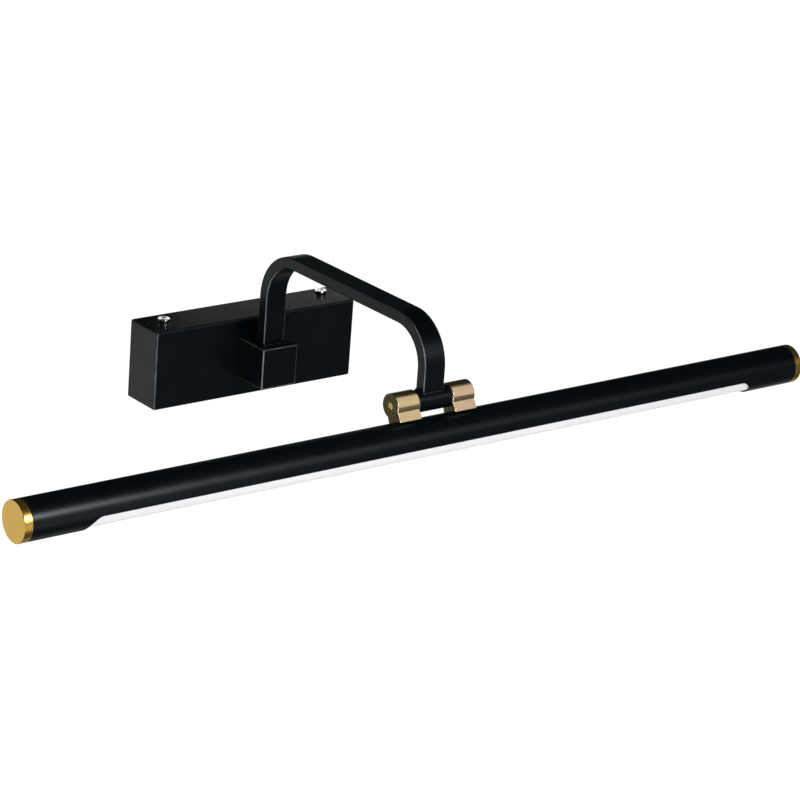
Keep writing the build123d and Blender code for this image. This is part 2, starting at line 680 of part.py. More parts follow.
# ---- opal diffuser: a C-section that slides inside the tube behind the slot
diffuser_radius = tube_bore - slide_gap
half_diffuser = half_tube - cap_spigot - 0.4
with BuildPart() as diffuser:
    with BuildSketch(head_section(-half_diffuser)) as shell:
        Circle(diffuser_radius)
        Circle(diffuser_radius - diffuser_wall, mode=Mode.SUBTRACT)
        with Locations((0, carrier_height - slide_gap + tube_radius)):
            Rectangle(3 * tube_radius, 2 * tube_radius, mode=Mode.SUBTRACT)
    extrude(shell.sketch, amount=2 * half_diffuser)

# ---- aluminium carrier that spans the tube and takes the heat
half_carrier = half_tube - 1.0
carrier_half_width = math.sqrt(diffuser_radius ** 2 - (carrier_height + carrier_web) ** 2) - 0.05
lead_hole_x = board_length / 2 + 7.0
with BuildPart() as led_carrier:
    with BuildSketch(head_section(-half_carrier)) as rail:
        with Locations((0, carrier_height + carrier_web / 2)):
            Rectangle(2 * carrier_half_width, carrier_web)
        with Locations(*[(side * rib_offset, carrier_height + carrier_web + carrier_rib / 2) for side in (-1, 1)]):
            Rectangle(1.2, carrier_rib)
    extrude(rail.sketch, amount=2 * half_carrier)
    rod(head_level(lead_hole_x, carrier_height - 1), 2.4, carrier_web + 2, mode=Mode.SUBTRACT)

# ---- circuit board and its row of light-emitting chips
board_face = carrier_height - board_thickness
board_screw_spots = [-245, -145, -55, 55, 145, 245]
with BuildPart() as led_board:
    bar(head_level(0, board_face), board_length, board_width, board_thickness)
    for x in board_screw_spots:
        rod(head_level(x, board_face - 1), m2[0] + thread_gap, board_thickness + 2, mode=Mode.SUBTRACT)

with led_carrier:
    for x in board_screw_spots:
        rod(head_level(x, carrier_height - 1), m2[0] + thread_gap, carrier_web + 2, mode=Mode.SUBTRACT)

with BuildPart() as board_screws:
    for x in board_screw_spots:
        pan_screw(head_level(x, board_face, downwards=True), m2, board_thickness + carrier_web + 0.4)

chip_count = 2 * int(light_slot_length / 2 / chip_pitch) + 1
with BuildPart() as led_chips:
    for index in range(chip_count):
        x = (index - (chip_count - 1) / 2) * chip_pitch
        bar(head_level(x, board_face, downwards=True), chip_length, chip_width, chip_height)

# ---- head lead, knuckle to board, behind the carrier
run_up = carrier_height + carrier_web + lamp_lead_radius + 0.7
end_up = carrier_height - lamp_lead_radius - 0.1
turn = (run_up - end_up) / 2 - 0.05
with BuildPart() as head_lead:
    lead([in_head(lead_parting + 0.2, 0, pivot_to_tube), in_head(wire_bore_x, 0, pivot_to_tube),
          in_head(wire_bore_x, 0, run_up), in_head(lead_hole_x, 0, run_up), in_head(lead_hole_x, 0, end_up),
          in_head(board_length / 2 + 0.1, 0, end_up)],
         [4.0, 4.0, turn, turn], lamp_lead_radius)

# ================================================================ files
save(wall_bracket, "wall_bracket")
save(cable_grommet, "cable_grommet")
save(canopy, "canopy")
save(canopy_screws, "canopy_screws")
save(arm_boss, "arm_boss")
save(boss_nipple, "boss_nipple")
save(nipple_washer, "nipple_washer")
save(nipple_nut, "nipple_nut")
save(boss_screws, "boss_screws")
save(arm, "arm")
save(arm_weld_lower, "arm_weld_lower")
save(arm_weld_upper, "arm_weld_upper")
save(knuckle_barrel, "knuckle_barrel")
save(pivot_pin, "pivot_pin")
save(pivot_sleeve, "pivot_sleeve")
save(friction_washer_left, "friction_washer_left")
save(friction_washer_right, "friction_washer_right")
save(driver_case, "driver_case")
save(driver_lid, "driver_lid")
save(driver_board, "driver_board")
save(driver_transformer, "driver_transformer")
save(driver_capacitors, "driver_capacitors")
save(driver_screws, "driver_screws")
save(terminal_block, "terminal_block")
save(terminal_clamps, "terminal_clamps")
save(terminal_screws, "terminal_screws")
save(terminal_fixings, "terminal_fixings")
save(earth_tag, "earth_tag")
save(earth_screw, "earth_screw")
save(live_lead, "live_lead")
save(neutral_lead, "neutral_lead")
save(earth_lead, "earth_lead")
save(lamp_lead, "lamp_lead")
save(lug_left, "lug_left")
save(lug_right, "lug_right")
save(access_plug, "access_plug")
save(lamp_tube, "lamp_tube")
save(tube_grommet, "tube_grommet")
save(lug_screws, "lug_screws")
save(end_cap_left, "end_cap_left")
save(end_cap_right, "end_cap_right")
save(diffuser, "diffuser")
save(led_carrier, "led_carrier")
save(led_board, "led_board")
save(board_screws, "board_screws")
save(led_chips, "led_chips")
save(head_lead, "head_lead")
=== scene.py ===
"""Finishes, weld beads, screws and studio for a wall-mounted picture light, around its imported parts."""

import math

import bmesh
import bpy
from mathutils import Matrix, Vector, noise


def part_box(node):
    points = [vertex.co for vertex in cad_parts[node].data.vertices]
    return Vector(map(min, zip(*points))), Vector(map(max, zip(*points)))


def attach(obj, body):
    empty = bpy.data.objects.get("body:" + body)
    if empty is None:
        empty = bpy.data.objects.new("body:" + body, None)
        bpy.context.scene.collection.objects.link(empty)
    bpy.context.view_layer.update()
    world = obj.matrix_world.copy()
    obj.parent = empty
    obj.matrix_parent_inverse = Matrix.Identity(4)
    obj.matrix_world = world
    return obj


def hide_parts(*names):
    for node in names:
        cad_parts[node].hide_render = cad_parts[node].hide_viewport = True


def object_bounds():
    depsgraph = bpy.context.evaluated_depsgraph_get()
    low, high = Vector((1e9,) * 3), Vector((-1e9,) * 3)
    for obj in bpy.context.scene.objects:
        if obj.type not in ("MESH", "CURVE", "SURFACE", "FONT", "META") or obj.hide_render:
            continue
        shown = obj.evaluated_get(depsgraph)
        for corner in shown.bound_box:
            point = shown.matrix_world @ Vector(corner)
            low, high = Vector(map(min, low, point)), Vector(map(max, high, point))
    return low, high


bl_info = {
    "name": "Picture Light Finish",
    "version": (1, 0, 0),
    "blender": (4, 5, 0),
    "location": "3D View > Sidebar > Picture Light",
    "description": "Paints and details the parts of a wall-mounted picture light",
    "category": "Object",
}

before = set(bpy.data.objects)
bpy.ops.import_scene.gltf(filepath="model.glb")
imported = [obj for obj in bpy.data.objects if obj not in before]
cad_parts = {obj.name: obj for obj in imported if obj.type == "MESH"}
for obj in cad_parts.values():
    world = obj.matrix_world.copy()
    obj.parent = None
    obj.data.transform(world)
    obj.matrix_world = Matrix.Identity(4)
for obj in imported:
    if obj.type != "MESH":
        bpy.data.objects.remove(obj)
cad_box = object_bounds()

MM = 0.001

ZINC = (0.66, 0.66, 0.64)
BLACK_RUBBER = (0.022, 0.022, 0.023)
WHITE_SHEATH = (0.80, 0.80, 0.78)
PINK_BRASS = (0.80, 0.56, 0.38)
# Painted shade for the lugs' end faces and a painted highlight for their edges.
SHADED_END_BRASS = (0.075, 0.068, 0.022)
HIGHLIGHT_EDGE_BRASS = (0.98, 0.90, 0.62)
CAP_CLOUD = (0.78, 0.50, 0.20)
CAP_RIM = (0.62, 0.33, 0.10)
WHITE_LIGHT = (1.0, 1.0, 1.0, 1.0)
SKY_LIGHT = (0.95, 0.98, 1.0, 1.0)

BEVEL_SAMPLES = 6


# ---------------------------------------------------------------- settings
class PaintSettings(bpy.types.PropertyGroup):
    """The black powder coat on the wall box, the arm and the lamp tube."""

    colour: bpy.props.FloatVectorProperty(
        name="Paint colour", description="Base colour of the powder coat",
        default=(0.0006, 0.0020, 0.0030), subtype="COLOR", min=0, max=1)
    # Pale colour of dust specks and scuffed edges; along the edges it also serves as a painted highlight.
    dust_wear_and_highlight_colour: bpy.props.FloatVectorProperty(
        name="Edge colour", description="Colour where the coat is thin along an edge",
        default=(0.24, 0.25, 0.255), subtype="COLOR", min=0, max=1)
    roughness: bpy.props.FloatProperty(
        name="Roughness", description="Mean roughness of the coat", default=0.34, min=0, max=1,
        subtype="FACTOR")
    specular: bpy.props.FloatProperty(
        name="Specular level", description="Strength of the coat's reflections", default=0.33, min=0, max=1,
        subtype="FACTOR")
    tint: bpy.props.FloatVectorProperty(
        name="Sheen colour", description="Colour of the coat's reflections", default=(0.84, 0.95, 1.0),
        subtype="COLOR", min=0, max=1)
    grain: bpy.props.FloatProperty(
        name="Grain", description="Size of the coat's orange peel", default=0.9 * MM, unit="LENGTH")
    # Also the width of the painted edge highlight.
    edge_width: bpy.props.FloatProperty(
        name="Edge width", description="Width of the thin coat along an edge", default=0.45 * MM,
        unit="LENGTH")


class MetalSettings(bpy.types.PropertyGroup):
    """The bare and plated metals."""

    lug_colour: bpy.props.FloatVectorProperty(
        name="Lug brass", description="Polished brass of the knuckle lugs", default=(0.80, 0.62, 0.34),
        subtype="COLOR", min=0, max=1)
    cap_colour: bpy.props.FloatVectorProperty(
        name="Cap brass", description="Satin brass of the end caps", default=(0.90, 0.58, 0.11),
        subtype="COLOR", min=0, max=1)
    plate_colour: bpy.props.FloatVectorProperty(
        name="Bright plate", description="Nickel plate of the canopy screws", default=(0.86, 0.87, 0.88),
        subtype="COLOR", min=0, max=1)
    turning_pitch: bpy.props.FloatProperty(
        name="Turning pitch", description="Distance between the cap face's turning marks", default=0.28 * MM,
        unit="LENGTH")


class WeldSettings(bpy.types.PropertyGroup):
    """The two weld beads of the arm."""

    foot_radius: bpy.props.FloatProperty(
        name="Foot bead", description="Radius of the bead at the arm's foot", default=1.15 * MM,
        unit="LENGTH")
    knuckle_radius: bpy.props.FloatProperty(
        name="Knuckle bead", description="Radius of the bead on the knuckle", default=0.95 * MM,
        unit="LENGTH")
    ripple_pitch: bpy.props.FloatProperty(
        name="Ripple pitch", description="Distance between the bead's ripples", default=1.5 * MM,
        unit="LENGTH")


class OpalSettings(bpy.types.PropertyGroup):
    """The opal diffuser."""

    colour: bpy.props.FloatVectorProperty(
        name="Opal colour", description="Colour of the opal plastic", default=(0.625, 0.61, 0.622),
        subtype="COLOR", min=0, max=1)
    # Strength of a painted glow that brightens the opal's downward face; it is not light from the LEDs.
    glow: bpy.props.FloatProperty(
        name="Glow", description="Light that the opal plastic passes on from inside", default=0.15, min=0)


class StageSettings(bpy.types.PropertyGroup):
    """Floor, lights and camera."""

    floor_drop: bpy.props.FloatProperty(
        name="Floor drop", description="Height of the picture light above the floor", default=0.5,
        unit="LENGTH")
    floor_colour: bpy.props.FloatVectorProperty(
        name="Floor colour", description="Pale studio floor", default=(0.93, 0.93, 0.93), subtype="COLOR",
        min=0, max=1)
    camera_azimuth: bpy.props.FloatProperty(
        name="Camera azimuth", description="Camera's side of the wall normal", default=math.radians(-38.903),
        unit="ROTATION")
    camera_elevation: bpy.props.FloatProperty(
        name="Camera elevation", description="Camera's height angle", default=math.radians(20.094),
        unit="ROTATION")
    camera_roll: bpy.props.FloatProperty(
        name="Camera roll", description="Turn about the line of sight", default=math.radians(4.449),
        unit="ROTATION")
    camera_place: bpy.props.FloatVectorProperty(
        name="Camera place", description="Where the camera stands", default=(-1.19036, -1.65993, 0.71320),
        subtype="XYZ", unit="LENGTH")
    camera_lens: bpy.props.FloatProperty(
        name="Lens", description="Focal length in millimetres on a 36 mm frame", default=146.66)
    camera_shift: bpy.props.FloatVectorProperty(
        name="Camera shift", description="Small lens shift, as a share of the frame", size=2,
        default=(-0.0006, 0.0006))


class PictureLightSettings(bpy.types.PropertyGroup):
    """Everything that a user would change."""

    paint: bpy.props.PointerProperty(type=PaintSettings)
    metal: bpy.props.PointerProperty(type=MetalSettings)
    weld: bpy.props.PointerProperty(type=WeldSettings)
    opal: bpy.props.PointerProperty(type=OpalSettings)
    stage: bpy.props.PointerProperty(type=StageSettings)


# ---------------------------------------------------------------- node helpers
def start_finish(name):
    """A new material with an empty tree, its principled shader and its output."""
    material = bpy.data.materials.new(name)
    material.use_nodes = True
    tree = material.node_tree
    tree.nodes.clear()
    output = tree.nodes.new("ShaderNodeOutputMaterial")
    shader = tree.nodes.new("ShaderNodeBsdfPrincipled")
    tree.links.new(shader.outputs["BSDF"], output.inputs["Surface"])
    return material, tree, shader


def add_node(tree, kind, attributes=None, **values):
    """A node with its attributes set, and its inputs set or linked by name."""
    node = tree.nodes.new(kind)
    for key, value in (attributes or {}).items():
        setattr(node, key, value)
    for key, value in values.items():
        socket = node.inputs[int(key[1:])] if key[0] == "_" else node.inputs[key.replace("_", " ")]
        put(tree, socket, value)
    return node


def put(tree, socket, value):
    """Links a socket to another node's output, or sets its value."""
    if isinstance(value, bpy.types.NodeSocket):
        tree.links.new(value, socket)
    else:
        socket.default_value = value


def place_in_part(tree):
    """The piece's own coordinates, in metres."""
    return add_node(tree, "ShaderNodeTexCoord").outputs["Object"]


def noise_field(tree, where, size, detail=3.0, roughness=0.55, stretch=None):
    """Fractal noise with features about `size` metres across, drawn out where `stretch` is under one."""
    if stretch:
        scaled = add_node(tree, "ShaderNodeVectorMath", {"operation": "MULTIPLY"}, _0=where, _1=stretch)
        where = scaled.outputs[0]
    field = add_node(tree, "ShaderNodeTexNoise", Vector=where, Scale=1 / size, Detail=detail,
                     Roughness=roughness)
    return field.outputs["Fac"]


def ranged(tree, value, low, high, start=0.3, end=0.7):
    """Maps a field from start..end to low..high."""
    node = add_node(tree, "ShaderNodeMapRange", Value=value)
    for key, number in zip(("From Min", "From Max", "To Min", "To Max"), (start, end, low, high)):
        node.inputs[key].default_value = number
    return node.outputs["Result"]


def blend(tree, factor, first, second):
    """A colour between two others."""
    node = add_node(tree, "ShaderNodeMix", {"data_type": "RGBA", "blend_type": "MIX"})
    for index, value in ((0, factor), (6, first), (7, second)):
        put(tree, node.inputs[index], value)
    return node.outputs[2]


def maths(tree, operation, first, second=0.0):
    """The result of one sum, product, sine or the like."""
    return add_node(tree, "ShaderNodeMath", {"operation": operation}, _0=first, _1=second).outputs[0]


def sum_of(tree, first, second):
    return maths(tree, "ADD", first, second)


def product_of(tree, first, second):
    return maths(tree, "MULTIPLY", first, second)


def bump(tree, shader, height, depth, edge_radius=0.0):
    """Adds a bump of `depth` metres to the shader, over edges eased by `edge_radius`."""
    node = add_node(tree, "ShaderNodeBump", Height=height, Distance=depth)
    if edge_radius:
        eased = add_node(tree, "ShaderNodeBevel", {"samples": BEVEL_SAMPLES}, Radius=edge_radius)
        tree.links.new(eased.outputs["Normal"], node.inputs["Normal"])
    tree.links.new(node.outputs["Normal"], shader.inputs["Normal"])


def solid(colour, share=1.0):
    """An opaque colour, darkened or lightened by a share."""
    return tuple(min(1.0, channel * share) for channel in colour) + (1.0,)


def edge_mask(tree, width):
    """One along sharp outer edges of about `width`, and zero on the faces."""
    rounded = add_node(tree, "ShaderNodeBevel", {"samples": BEVEL_SAMPLES}, Radius=width).outputs["Normal"]
    flat = add_node(tree, "ShaderNodeNewGeometry").outputs["Normal"]
    likeness = add_node(tree, "ShaderNodeVectorMath", {"operation": "DOT_PRODUCT"}, _0=rounded, _1=flat)
    return ranged(tree, likeness.outputs["Value"], low=1.0, high=0.0, start=0.86, end=0.985)


def corner_mask(tree, level_wear_and_highlight, bent):
    """One on the eased long edges of a square-cornered part, less along its level edges, zero on the faces.

    A bent part's faces turn with its bend, so only its edges beside the left and right faces count.
    """
    face_lean, corner_lean = 0.25, 0.6
    normal = add_node(tree, "ShaderNodeNewGeometry").outputs["Normal"]
    size = add_node(tree, "ShaderNodeVectorMath", {"operation": "ABSOLUTE"}, _0=normal).outputs[0]
    lean = add_node(tree, "ShaderNodeSeparateXYZ", Vector=size).outputs
    upright = ranged(tree, maths(tree, "MINIMUM", lean["X"], lean["Y"]), 0.0, 1.0, face_lean, corner_lean)
    level = maths(tree, "MINIMUM", lean["X"], lean["Z"])
    if not bent:
        level = maths(tree, "MAXIMUM", level, maths(tree, "MINIMUM", lean["Y"], lean["Z"]))
    level = ranged(tree, level, 0.0, level_wear_and_highlight, face_lean, corner_lean)
    return maths(tree, "MAXIMUM", upright, level)


# ---------------------------------------------------------------- finishes
def powder_coat(name, paint, shine, edge_wear_and_highlight, lumps=0.0, level_wear_and_highlight=None, bent=False):
    """Satin black powder coat: orange peel, slow colour change, dust specks and scuffed edges with a painted
    highlight.

    A square-cornered part says how far its level edges are lightened, by scuffing and painted highlight,
    beside its upright ones. On any other part the sharp edges are found by their shape.
    """
    material, tree, shader = start_finish(name)
    where = place_in_part(tree)
    slow = ranged(tree, noise_field(tree, where, size=38 * MM, detail=2.0), 0, 1)
    colour = blend(tree, slow, solid(paint.colour, share=0.82), solid(paint.colour, share=1.22))
    dust = noise_field(tree, where, size=0.55 * MM, detail=1.0)
    specks = ranged(tree, dust, low=0, high=0.35, start=0.80, end=0.86)
    colour = blend(tree, specks, colour, solid(paint.dust_wear_and_highlight_colour))
    patch = ranged(tree, noise_field(tree, where, size=9 * MM), low=0.35, high=1.0)
    if level_wear_and_highlight is None:
        edges = edge_mask(tree, paint.edge_width)
    else:
        edges = corner_mask(tree, level_wear_and_highlight, bent)
    # Edges lightened partly as scuffing and partly as a painted highlight that stands in for light caught on
    # the eased edges.
    worn_and_highlit = product_of(tree, product_of(tree, edges, patch), edge_wear_and_highlight)
    put(tree, shader.inputs["Base Color"], blend(tree, worn_and_highlit, colour, solid(paint.dust_wear_and_highlight_colour)))
    cloud = noise_field(tree, where, size=14 * MM, detail=4.0)
    smoothest = paint.roughness - shine - 0.04
    roughest = paint.roughness - shine + 0.05
    put(tree, shader.inputs["Roughness"], ranged(tree, cloud, smoothest, roughest))
    shader.inputs["Specular IOR Level"].default_value = paint.specular
    shader.inputs["Specular Tint"].default_value = solid(paint.tint)
    peel = noise_field(tree, where, paint.grain, detail=2.0)
    if lumps:
        lump = noise_field(tree, where, size=1.1 * MM, detail=4.0, roughness=0.65)
        peel = sum_of(tree, peel, product_of(tree, lump, lumps))
    bump(tree, shader, peel, depth=0.035 * MM, edge_radius=paint.edge_width)
    return material


def lug_brass(name, metal):
    """Polished, lacquered brass: polishing lines, rougher end faces with painted shade, painted edge
    highlight.
    """
    material, tree, shader = start_finish(name)
    where = place_in_part(tree)
    normal = add_node(tree, "ShaderNodeNewGeometry").outputs["True Normal"]
    across = add_node(tree, "ShaderNodeSeparateXYZ", Vector=normal).outputs["X"]
    end_face = ranged(tree, maths(tree, "ABSOLUTE", across), 0, 1, start=0.9, end=0.98)
    place_x = add_node(tree, "ShaderNodeSeparateXYZ", Vector=where).outputs["X"]
    pinker = ranged(tree, place_x, 0, 1, start=-10 * MM, end=20 * MM)
    colour = blend(tree, pinker, solid(metal.lug_colour), solid(PINK_BRASS))
    slow = ranged(tree, noise_field(tree, where, size=6 * MM), low=0, high=0.5)
    colour = blend(tree, slow, colour, solid(metal.lug_colour, share=0.78))
    # Painted shade: the end faces are darkened to stand in for the dark surroundings they reflect.
    end_shade_mottle = ranged(tree, noise_field(tree, where, size=2.2 * MM, detail=5.0), low=0.86, high=1.0)
    colour = blend(tree, product_of(tree, end_face, end_shade_mottle), colour, solid(SHADED_END_BRASS))
    # Painted highlight: a bright brass line along the edges, standing in for light caught on the small
    # chamfer.
    lug_edge_highlight = product_of(tree, edge_mask(tree, 0.5 * MM), 0.85)
    put(tree, shader.inputs["Base Color"], blend(tree, lug_edge_highlight, colour, solid(HIGHLIGHT_EDGE_BRASS)))
    shader.inputs["Metallic"].default_value = 1.0
    lines = noise_field(tree, where, size=0.5 * MM, detail=2.0, stretch=(0.06, 1.0, 1.0))
    polished = ranged(tree, lines, low=0.22, high=0.28)
    put(tree, shader.inputs["Roughness"], sum_of(tree, polished, product_of(tree, end_face, 0.16)))
    bump(tree, shader, lines, depth=0.002 * MM, edge_radius=0.45 * MM)
    return material


def cap_brass(name, metal, axis_y, axis_z):
    """Satin gold-coloured brass with turning marks about the tube's axis."""
    material, tree, shader = start_finish(name)
    where = place_in_part(tree)
    axis = (0, axis_y, axis_z)
    centred = add_node(tree, "ShaderNodeVectorMath", {"operation": "SUBTRACT"}, _0=where, _1=axis).outputs[0]
    flat = add_node(tree, "ShaderNodeVectorMath", {"operation": "MULTIPLY"}, _0=centred, _1=(0, 1, 1))
    reach = add_node(tree, "ShaderNodeVectorMath", {"operation": "LENGTH"}, _0=flat.outputs[0])
    wobble = product_of(tree, noise_field(tree, where, size=4 * MM, detail=2.0), 0.3 * MM)
    rings_per_metre = 1 / metal.turning_pitch
    turned = product_of(tree, sum_of(tree, reach.outputs["Value"], wobble), 2 * math.pi * rings_per_metre)
    mottle = noise_field(tree, where, size=1.3 * MM, detail=5.0, roughness=0.6)
    colour = blend(tree, ranged(tree, mottle, 0, 1), solid(metal.cap_colour, share=0.86),
                   solid(metal.cap_colour, share=1.10))
    slow = ranged(tree, noise_field(tree, where, size=7 * MM, detail=2.0), low=0, high=0.45)
    colour = blend(tree, slow, colour, solid(CAP_CLOUD))
    rim = product_of(tree, edge_mask(tree, 0.35 * MM), 0.6)
    put(tree, shader.inputs["Base Color"], blend(tree, rim, colour, solid(CAP_RIM)))
    shader.inputs["Metallic"].default_value = 1.0
    put(tree, shader.inputs["Roughness"], ranged(tree, mottle, low=0.24, high=0.36))
    ridges = product_of(tree, maths(tree, "SINE", turned), 0.25)
    bump(tree, shader, sum_of(tree, ridges, mottle), depth=0.010 * MM)
    return material


def plated(name, colour, roughness, spread=0.08, grain=0.6 * MM, dull=0.7):
    """Plated or milled metal: cloudy shine with hairline scratches."""
    material, tree, shader = start_finish(name)
    where = place_in_part(tree)
    cloud = ranged(tree, noise_field(tree, where, size=5 * MM, detail=4.0), 0, 1)
    put(tree, shader.inputs["Base Color"],
        blend(tree, cloud, solid(colour, share=dull), solid(colour, share=1.05)))
    shader.inputs["Metallic"].default_value = 1.0
    scratches = noise_field(tree, where, grain, detail=4.0, roughness=0.7, stretch=(0.12, 1.0, 0.4))
    put(tree, shader.inputs["Roughness"], ranged(tree, scratches, roughness, roughness + spread))
    bump(tree, shader, scratches, depth=0.004 * MM)
    return material


def set_grain_roughness(tree, shader, grain, roughness):
    """Makes a plastic a little smoother or rougher over its fine grain."""
    put(tree, shader.inputs["Roughness"], ranged(tree, grain, roughness - 0.05, roughness + 0.08))


def moulded(name, colour, roughness):
    """Moulded plastic or rubber with a fine spark grain."""
    material, tree, shader = start_finish(name)
    where = place_in_part(tree)
    cloud = ranged(tree, noise_field(tree, where, size=6 * MM), 0, 1)
    put(tree, shader.inputs["Base Color"],
        blend(tree, cloud, solid(colour, share=0.88), solid(colour, share=1.04)))
    grain = noise_field(tree, where, size=0.5 * MM)
    set_grain_roughness(tree, shader, grain, roughness)
    bump(tree, shader, grain, depth=0.012 * MM)
    return material


def striped(name, ground, stripe, pitch):
    """Two colours in slanted bands, as on an earth lead or a wound coil."""
    material, tree, shader = start_finish(name)
    where = place_in_part(tree)
    wave = add_node(tree, "ShaderNodeTexWave", {"wave_type": "BANDS", "bands_direction": "DIAGONAL"},
                    Vector=where, Scale=1 / (pitch * math.pi), Distortion=0.6, Detail=2.0).outputs["Fac"]
    band = ranged(tree, wave, 0, 1, start=0.44, end=0.56)
    put(tree, shader.inputs["Base Color"], blend(tree, band, solid(ground), solid(stripe)))
    grain = noise_field(tree, where, size=0.4 * MM)
    set_grain_roughness(tree, shader, grain, 0.4)
    bump(tree, shader, sum_of(tree, grain, band), depth=0.01 * MM)
    return material


def opal_plastic(name, opal):
    """Milky extruded plastic: soft, slightly glossy, with a faint painted glow; no lamp is lit inside it."""
    material, tree, shader = start_finish(name)
    where = place_in_part(tree)
    slow = ranged(tree, noise_field(tree, where, size=45 * MM, detail=2.0), 0, 1)
    put(tree, shader.inputs["Base Color"],
        blend(tree, slow, solid(opal.colour, share=0.975), solid(opal.colour, share=1.02)))
    lines = noise_field(tree, where, size=0.7 * MM, stretch=(0.02, 1.0, 1.0))
    put(tree, shader.inputs["Roughness"], ranged(tree, lines, low=0.34, high=0.44))
    shader.inputs["Subsurface Weight"].default_value = 0.35
    shader.inputs["Subsurface Radius"].default_value = (1.0, 1.0, 1.0)
    shader.inputs["Subsurface Scale"].default_value = 1.2 * MM
    shader.inputs["Specular IOR Level"].default_value = 0.3
    # Painted glow: emission of the opal's own colour lifts its brightness where little light reaches it.
    shader.inputs["Emission Color"].default_value = solid(opal.colour)
    shader.inputs["Emission Strength"].default_value = opal.glow
    bump(tree, shader, lines, depth=0.003 * MM)
    return material


# ---------------------------------------------------------------- piece helpers
def finish_node(name, material):
    """Gives a CAD node its material."""
    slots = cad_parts[name].data.materials
    slots.clear()
    slots.append(material)


def finish_nodes(names, material):
    """Gives several CAD nodes the same material."""
    for name in names:
        finish_node(name, material)


def make_piece(name, mesh, material, body, replaced):
    """Turns a bmesh into a named piece that rides on a body and stands for CAD nodes."""
    bmesh.ops.recalc_face_normals(mesh, faces=mesh.faces)
    data = bpy.data.meshes.new(name)
    mesh.to_mesh(data)
    mesh.free()
    data.shade_smooth()
    data.materials.append(material)
    piece = bpy.data.objects.new(name, data)
    bpy.context.scene.collection.objects.link(piece)
    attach(piece, body)
    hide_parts(*replaced)


def loft(mesh, rings, closed_path=False):
    """Skins a list of point rings with quads, and closes both ends unless the path is a loop."""
    rows = [[mesh.verts.new(point) for point in ring] for ring in rings]
    count = len(rows[0])
    last = len(rows) if closed_path else len(rows) - 1
    for index in range(last):
        here, there = rows[index], rows[(index + 1) % len(rows)]
        for step in range(count):
            after = (step + 1) % count
            mesh.faces.new((here[step], here[after], there[after], there[step]))
    if not closed_path:
        mesh.faces.new(rows[0])
        mesh.faces.new(rows[-1])


def rounded_rectangle(half_x, half_y, corner, count):
    """Evenly spaced (x, y, outward x, outward y) round a rounded rectangle, and the way round in metres."""
    straight = [2 * (half_y - corner), 2 * (half_x - corner)] * 2
    arc = corner * math.pi / 2
    total = sum(straight) + 4 * arc
    centres = [(half_x - corner, half_y - corner), (-half_x + corner, half_y - corner),
               (-half_x + corner, -half_y + corner), (half_x - corner, -half_y + corner)]
    points = []
    for index in range(count):
        left = total * index / count
        for side in range(4):
            facing = side * math.pi / 2
            out = Vector((math.cos(facing), math.sin(facing)))
            along = Vector((-out.y, out.x))
            centre = Vector(centres[side])
            if left <= straight[side]:
                spot = centre + out * corner + along * (left - straight[side])
                points.append((spot.x, spot.y, out.x, out.y))
                break
            left -= straight[side]
            if left <= arc:
                turn = facing + left / corner
                out = Vector((math.cos(turn), math.sin(turn)))
                spot = centre + out * corner
                points.append((spot.x, spot.y, out.x, out.y))
                break
            left -= arc
    return points, total


def weld_bead(mesh, half_x, half_y, corner, radius, height_of, place, pitch, roughness):
    """A closed bead round a rectangular tube: overlapping ripples, lumps and grain."""
    stations, sides = 260, 14
    flatness = 0.95
    ripple_depth, lump_depth, grain_depth = 0.16 * roughness, 0.22 * roughness, 0.12 * roughness
    wander, wander_rate = 0.35, 220
    lump_rate, lump_row = 520, 3.1
    grain_rate, grain_turn, grain_row = 1600, 1.4, 7.7
    points, total = rounded_rectangle(half_x, half_y, corner, stations)
    rings = []
    for index, (x, y, out_x, out_y) in enumerate(points):
        travel = total * index / stations
        phase = travel / pitch + wander * noise.noise(Vector((travel * wander_rate, 0, 0)))
        ripple = 1 - ripple_depth * (phase % 1.0)
        lump = 1 + lump_depth * noise.noise(Vector((travel * lump_rate, lump_row, 0)))
        ring = []
        for step in range(sides):
            angle = 2 * math.pi * step / sides
            spot = Vector((travel * grain_rate, angle * grain_turn, grain_row))
            reach = radius * ripple * lump * (1 + grain_depth * noise.noise(spot))
            out = reach * math.cos(angle)
            up = reach * math.sin(angle) * flatness
            level = height_of(y + out_y * out) + up
            ring.append(place + Vector((x + out_x * out, y + out_y * out, level)))
        rings.append(ring)
    loft(mesh, rings, closed_path=True)


def screw_boxes(node):
    """The lowest and highest corners of each separate solid of a node, from left to right."""
    same_place = 0.001 * MM
    mesh = bmesh.new()
    mesh.from_mesh(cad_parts[node].data)
    bmesh.ops.remove_doubles(mesh, verts=mesh.verts, dist=same_place)
    seen, boxes = set(), []
    for start in mesh.verts:
        if start in seen:
            continue
        group, front = [], [start]
        seen.add(start)
        while front:
            vertex = front.pop()
            group.append(vertex.co.copy())
            for edge in vertex.link_edges:
                other = edge.other_vert(vertex)
                if other not in seen:
                    seen.add(other)
                    front.append(other)
        lo = Vector(min(point[axis] for point in group) for axis in range(3))
        hi = Vector(max(point[axis] for point in group) for axis in range(3))
        boxes.append((lo, hi))
    mesh.free()
    return sorted(boxes, key=lambda box: box[0].x)


def ring_of(centre, radius, level, around, sunk=None):
    """Points evenly round a level circle, each lowered by `sunk` where that is given."""
    ring = []
    for step in range(around):
        angle = 2 * math.pi * step / around
        x, y = radius * math.cos(angle), radius * math.sin(angle)
        depth = sunk(x, y) if sunk else 0.0
        ring.append(centre + Vector((x, y, level - depth)))
    return ring


